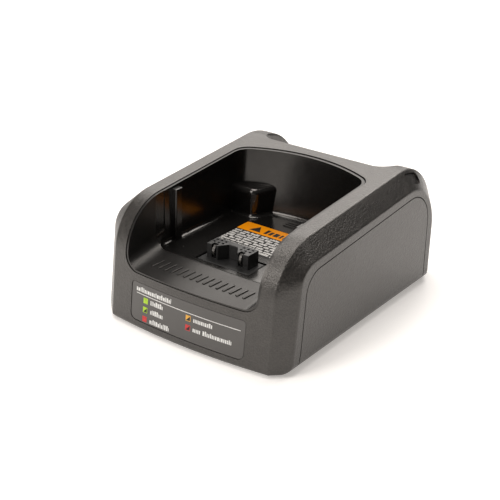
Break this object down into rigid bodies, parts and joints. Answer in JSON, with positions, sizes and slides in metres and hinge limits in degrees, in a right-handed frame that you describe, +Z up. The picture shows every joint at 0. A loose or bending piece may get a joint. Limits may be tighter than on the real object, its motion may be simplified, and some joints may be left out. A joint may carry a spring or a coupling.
{
  "type": "two-way radio charging cradle",
  "caption": "Desktop charging cradle for a hand-held two-way radio: textured shell, open glossy pocket, sprung battery contacts, legend panel, notch for the power plug at the back.",
  "frame": {"origin": "on the table, under the middle of the housing", "axes": "+Z up, -Y towards the front where the radio faces, +X to the right seen from the front"},
  "size_m": [0.1112, 0.1528, 0.0684],
  "materials": {
    "housing_plastic": "charcoal, fine spark-eroded texture",
    "liner_plastic": "black, polished inside the pocket",
    "legend_film": "smooth printed overlay",
    "notice_film": "printed polyester film",
    "rating_film": "silver printed film",
    "foot_rubber": "soft black rubber",
    "screw_steel": "zinc plated",
    "plug_plastic": "charcoal, fine texture",
    "inlet_plastic": "black nylon",
    "pin_metal": "nickel plated",
    "board_laminate": "green solder mask",
    "ferrite": "sintered ferrite",
    "copper_wire": "enamelled copper",
    "capacitor_sleeve": "shrink sleeve",
    "chip_epoxy": "moulded epoxy",
    "sink_aluminium": "extruded",
    "led_resin": "water-clear resin",
    "pipe_clear": "clear moulded acrylic",
    "block_plastic": "black glass-filled nylon",
    "contact_metal": "black nickel plated spring bronze",
    "socket_nylon": "natural nylon",
    "cable_pvc": "grey flat cable"
  },
  "bodies": {
    "housing": {"top_housing": "housing_plastic", "base_housing": "housing_plastic", "pocket_liner": "liner_plastic", "legend_label": "legend_film", "pocket_label": "notice_film", "rating_label": "rating_film", "rubber_feet": "foot_rubber", "housing_screws": "screw_steel", "ear_plugs": "plug_plastic", "dc_inlet": "inlet_plastic", "dc_inlet_pin": "pin_metal", "main_board": "board_laminate", "board_screws": "screw_steel", "choke_core": "ferrite", "choke_winding": "copper_wire", "capacitors": "capacitor_sleeve", "control_chips": "chip_epoxy", "power_transistor": "chip_epoxy", "heat_sink": "sink_aluminium", "status_leds": "led_resin", "light_pipe": "pipe_clear", "contact_block": "block_plastic", "contact_board": "board_laminate", "contact_screws": "screw_steel", "harness_sockets": "socket_nylon", "wire_harness": "cable_pvc"},
    "strip_1": {"contact_strip_1": "contact_metal"},
    "strip_2": {"contact_strip_2": "contact_metal"}
  },
  "joints": [
    {"name": "strip_1_press", "type": "slide", "parent": "housing", "child": "strip_1", "axis": [0, 1, 0], "range_m": [0, 0.0006], "stiffness_N_per_m": 1000, "springref_m": -0.0002},
    {"name": "strip_2_press", "type": "slide", "parent": "housing", "child": "strip_2", "axis": [0, 1, 0], "range_m": [0, 0.0006], "stiffness_N_per_m": 1000, "springref_m": -0.0002}
  ]
}
